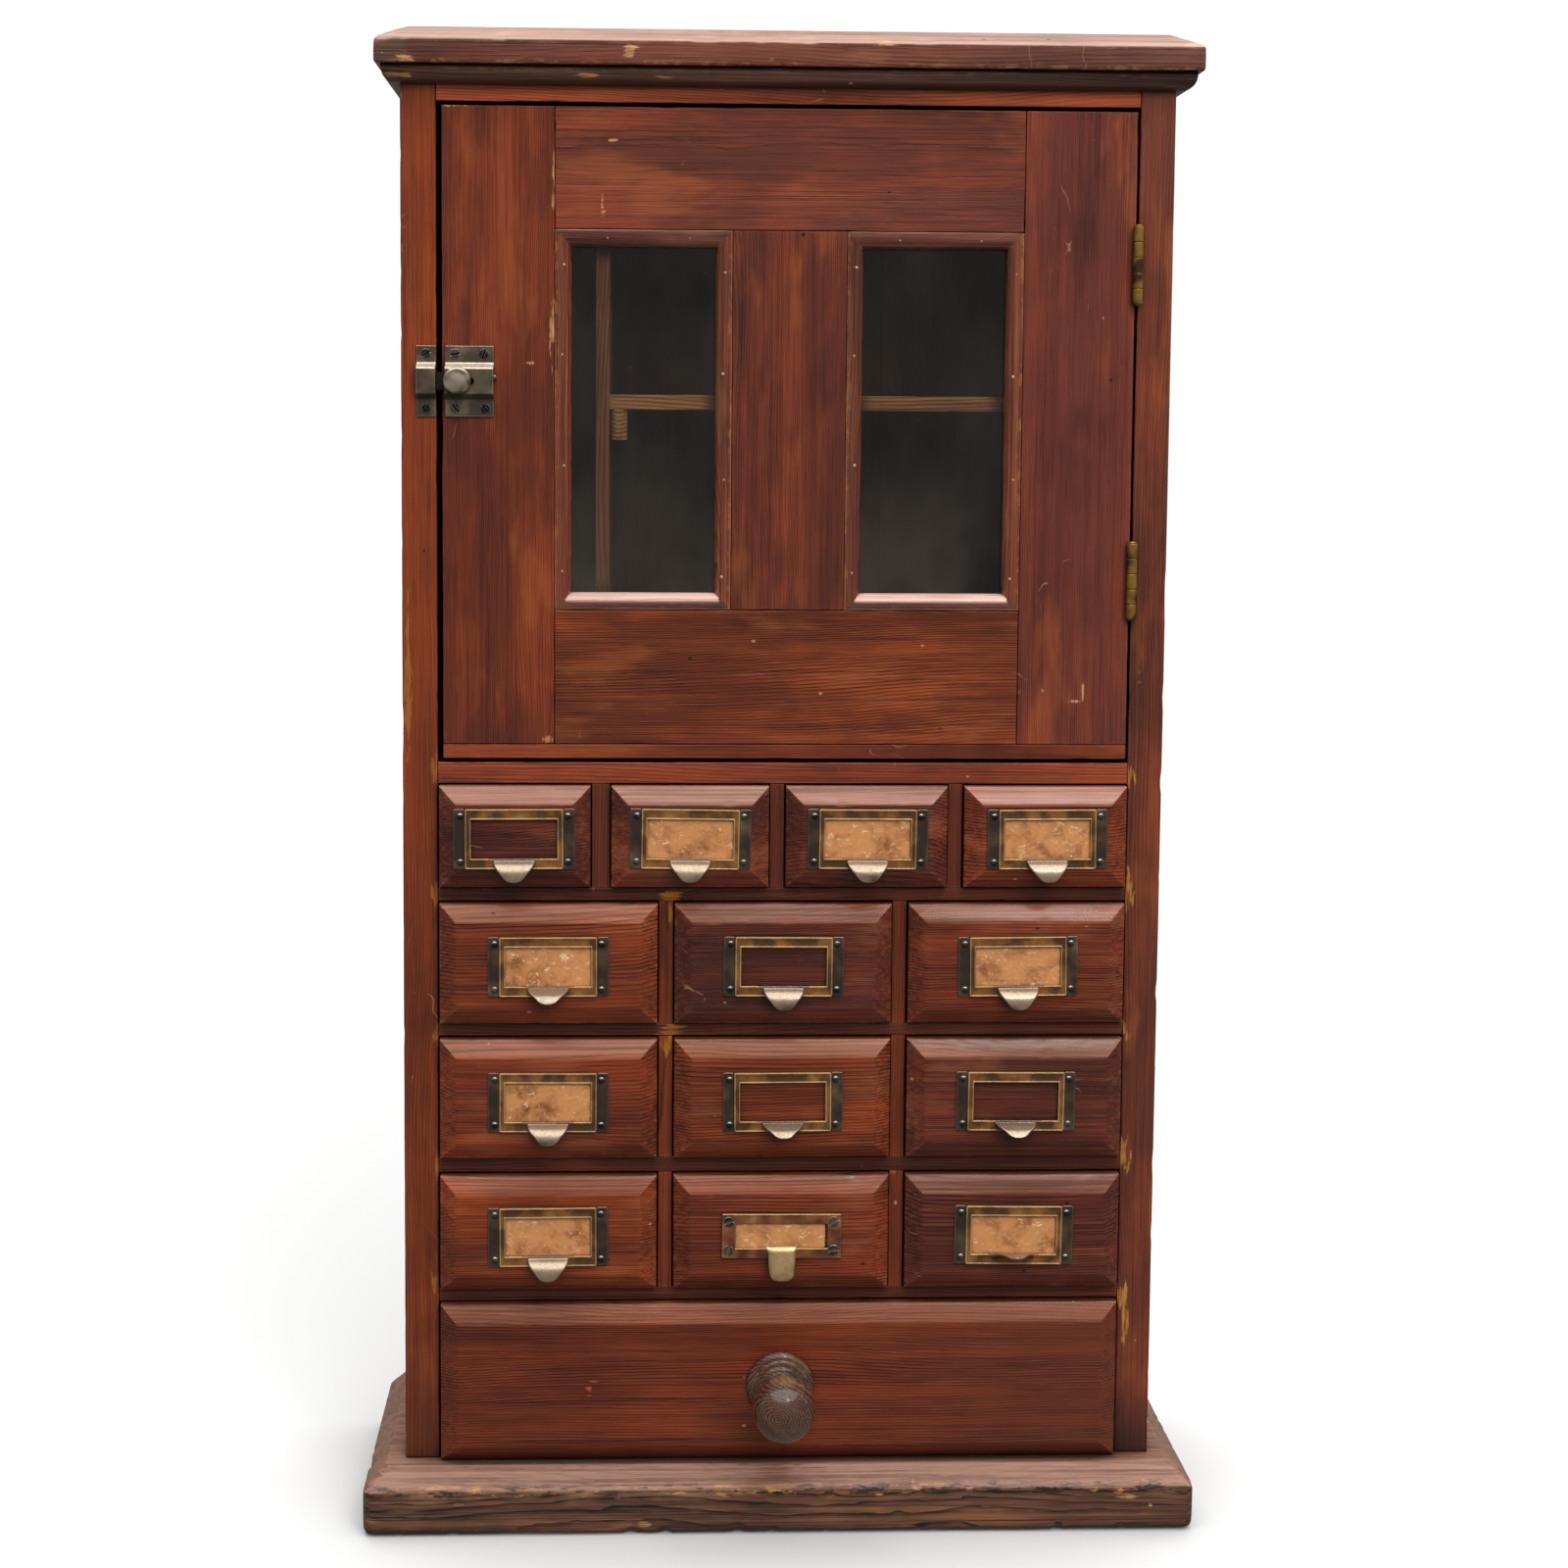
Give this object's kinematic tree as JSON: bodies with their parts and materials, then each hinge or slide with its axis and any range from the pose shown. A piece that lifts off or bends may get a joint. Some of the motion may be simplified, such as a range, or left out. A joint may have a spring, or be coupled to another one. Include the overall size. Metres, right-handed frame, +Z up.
{
  "type": "apothecary cabinet",
  "caption": "Upright wooden apothecary cabinet: glazed cupboard door over rows of small card-frame drawers and a full-width drawer on a moulded base board.",
  "frame": {"origin": "centre of the flat underside of the base board", "axes": "+Z up along the height, -Y out of the front, +X to the right seen from the front"},
  "size_m": [0.552, 0.221, 0.986],
  "materials": {
    "stained_pine": "worn reddish-brown varnish",
    "base_wood": "worn bare wood, greyed",
    "raw_pine": "unfinished aged pine",
    "shelf_pine": "scuffed pale paint on pine",
    "bead_wood": "dark varnish",
    "knob_wood": "dark polished turned wood",
    "pane_glass": "clear old glass",
    "hinge_metal": "tarnished",
    "latch_metal": "worn plated steel",
    "pull_brass": "dark patina, rubbed bright on the edges"
  },
  "bodies": {
    "carcass": {"base_board": "base_wood", "side_boards": "stained_pine", "top_board": "stained_pine", "cornice_moulding": "stained_pine", "back_boards": "raw_pine", "cross_boards": "stained_pine", "drawer_dividers": "stained_pine", "cupboard_partition": "stained_pine", "cupboard_shelf": "shelf_pine", "hinge_frame_leaves": "hinge_metal", "latch_keeper": "latch_metal"},
    "door": {"door_stiles": "stained_pine", "door_rails": "stained_pine", "door_beads": "bead_wood", "door_panes": "pane_glass", "hinge_door_leaves": "hinge_metal", "latch_case": "latch_metal"},
    "latch_bolt": {"latch_bolt": "latch_metal"},
    "wide_drawer": {"wide_drawer_front": "stained_pine", "wide_drawer_box": "raw_pine", "wide_drawer_knob": "knob_wood"},
    "drawer_1_1": {"drawer_1_1_front": "stained_pine", "drawer_1_1_box": "raw_pine", "drawer_1_1_pull": "pull_brass"},
    "drawer_1_2": {"drawer_1_2_front": "stained_pine", "drawer_1_2_box": "raw_pine", "drawer_1_2_pull": "pull_brass"},
    "drawer_1_3": {"drawer_1_3_front": "stained_pine", "drawer_1_3_box": "raw_pine", "drawer_1_3_pull": "pull_brass"},
    "drawer_1_4": {"drawer_1_4_front": "stained_pine", "drawer_1_4_box": "raw_pine", "drawer_1_4_pull": "pull_brass"},
    "drawer_2_1": {"drawer_2_1_front": "stained_pine", "drawer_2_1_box": "raw_pine", "drawer_2_1_pull": "pull_brass"},
    "drawer_2_2": {"drawer_2_2_front": "stained_pine", "drawer_2_2_box": "raw_pine", "drawer_2_2_pull": "pull_brass"},
    "drawer_2_3": {"drawer_2_3_front": "stained_pine", "drawer_2_3_box": "raw_pine", "drawer_2_3_pull": "pull_brass"},
    "drawer_3_1": {"drawer_3_1_front": "stained_pine", "drawer_3_1_box": "raw_pine", "drawer_3_1_pull": "pull_brass"},
    "drawer_3_2": {"drawer_3_2_front": "stained_pine", "drawer_3_2_box": "raw_pine", "drawer_3_2_pull": "pull_brass"},
    "drawer_3_3": {"drawer_3_3_front": "stained_pine", "drawer_3_3_box": "raw_pine", "drawer_3_3_pull": "pull_brass"},
    "drawer_4_1": {"drawer_4_1_front": "stained_pine", "drawer_4_1_box": "raw_pine", "drawer_4_1_pull": "pull_brass"},
    "drawer_4_2": {"drawer_4_2_front": "stained_pine", "drawer_4_2_box": "raw_pine", "drawer_4_2_pull": "pull_brass"},
    "drawer_4_3": {"drawer_4_3_front": "stained_pine", "drawer_4_3_box": "raw_pine", "drawer_4_3_pull": "pull_brass"}
  },
  "joints": [
    {"name": "door_swing", "type": "hinge", "parent": "carcass", "child": "door", "pos_m": [0.22625, -0.066, 0.735], "axis": [0, 0, 1], "range_deg": [0, 175]},
    {"name": "latch_slide", "type": "slide", "parent": "door", "child": "latch_bolt", "axis": [1, 0, 0], "range_m": [-0.0035, 0.0085]},
    {"name": "wide_drawer_slide", "type": "slide", "parent": "carcass", "child": "wide_drawer", "axis": [0, -1, 0], "range_m": [0, 0.105]},
    {"name": "drawer_1_1_slide", "type": "slide", "parent": "carcass", "child": "drawer_1_1", "axis": [0, -1, 0], "range_m": [0, 0.105]},
    {"name": "drawer_1_2_slide", "type": "slide", "parent": "carcass", "child": "drawer_1_2", "axis": [0, -1, 0], "range_m": [0, 0.105]},
    {"name": "drawer_1_3_slide", "type": "slide", "parent": "carcass", "child": "drawer_1_3", "axis": [0, -1, 0], "range_m": [0, 0.105]},
    {"name": "drawer_1_4_slide", "type": "slide", "parent": "carcass", "child": "drawer_1_4", "axis": [0, -1, 0], "range_m": [0, 0.105]},
    {"name": "drawer_2_1_slide", "type": "slide", "parent": "carcass", "child": "drawer_2_1", "axis": [0, -1, 0], "range_m": [0, 0.105]},
    {"name": "drawer_2_2_slide", "type": "slide", "parent": "carcass", "child": "drawer_2_2", "axis": [0, -1, 0], "range_m": [0, 0.105]},
    {"name": "drawer_2_3_slide", "type": "slide", "parent": "carcass", "child": "drawer_2_3", "axis": [0, -1, 0], "range_m": [0, 0.105]},
    {"name": "drawer_3_1_slide", "type": "slide", "parent": "carcass", "child": "drawer_3_1", "axis": [0, -1, 0], "range_m": [0, 0.105]},
    {"name": "drawer_3_2_slide", "type": "slide", "parent": "carcass", "child": "drawer_3_2", "axis": [0, -1, 0], "range_m": [0, 0.105]},
    {"name": "drawer_3_3_slide", "type": "slide", "parent": "carcass", "child": "drawer_3_3", "axis": [0, -1, 0], "range_m": [0, 0.105]},
    {"name": "drawer_4_1_slide", "type": "slide", "parent": "carcass", "child": "drawer_4_1", "axis": [0, -1, 0], "range_m": [0, 0.105]},
    {"name": "drawer_4_2_slide", "type": "slide", "parent": "carcass", "child": "drawer_4_2", "axis": [0, -1, 0], "range_m": [0, 0.105]},
    {"name": "drawer_4_3_slide", "type": "slide", "parent": "carcass", "child": "drawer_4_3", "axis": [0, -1, 0], "range_m": [0, 0.105]}
  ]
}
